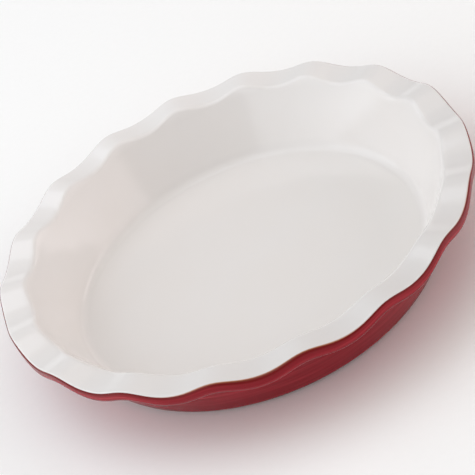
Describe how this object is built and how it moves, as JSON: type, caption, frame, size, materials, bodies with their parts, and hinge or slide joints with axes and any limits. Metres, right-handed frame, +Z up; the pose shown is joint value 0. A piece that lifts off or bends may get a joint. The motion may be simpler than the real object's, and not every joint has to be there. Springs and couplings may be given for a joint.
{
  "type": "baking dish",
  "caption": "Round shallow stoneware baking dish with a sloping wall and a wide rippled lip, glazed white inside and red outside, standing on a low bare foot ring.",
  "frame": {"origin": "centre of the foot ring's underside, on the surface that the dish stands on", "axes": "+Z up along the dish's axis, +X through a crest of the lip's ripple"},
  "size_m": [0.26, 0.26, 0.0443],
  "materials": {
    "stoneware": "matte",
    "white_glaze": "gloss",
    "red_glaze": "gloss"
  },
  "bodies": {
    "root": {"stoneware_body": "stoneware", "inner_glaze": "white_glaze", "outer_glaze": "red_glaze", "base_glaze": "red_glaze"}
  },
  "joints": []
}
